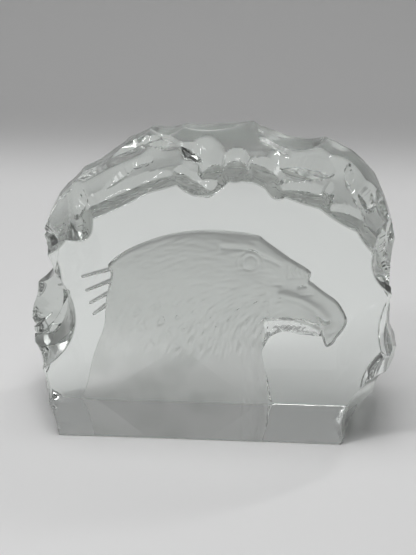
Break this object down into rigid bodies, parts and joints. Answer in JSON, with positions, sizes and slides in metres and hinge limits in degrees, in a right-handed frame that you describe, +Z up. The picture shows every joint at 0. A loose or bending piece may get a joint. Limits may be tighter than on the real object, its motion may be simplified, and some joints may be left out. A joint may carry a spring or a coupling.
{
  "type": "crystal eagle head figurine",
  "caption": "Clear crystal block with a flat base, a polished front, a chipped rim and an eagle's head sunk into its back face; stands by its own weight.",
  "frame": {"origin": "middle of the base's box, on the surface that the block stands on", "axes": "+X the way the beak points, +Y from the polished front face to the carved back face, +Z up"},
  "size_m": [0.1087, 0.039, 0.0863],
  "materials": {
    "crystal": "clear, polished faces and rim, satin in the sunk head"
  },
  "bodies": {
    "root": {"crystal_block": "crystal"}
  },
  "joints": []
}
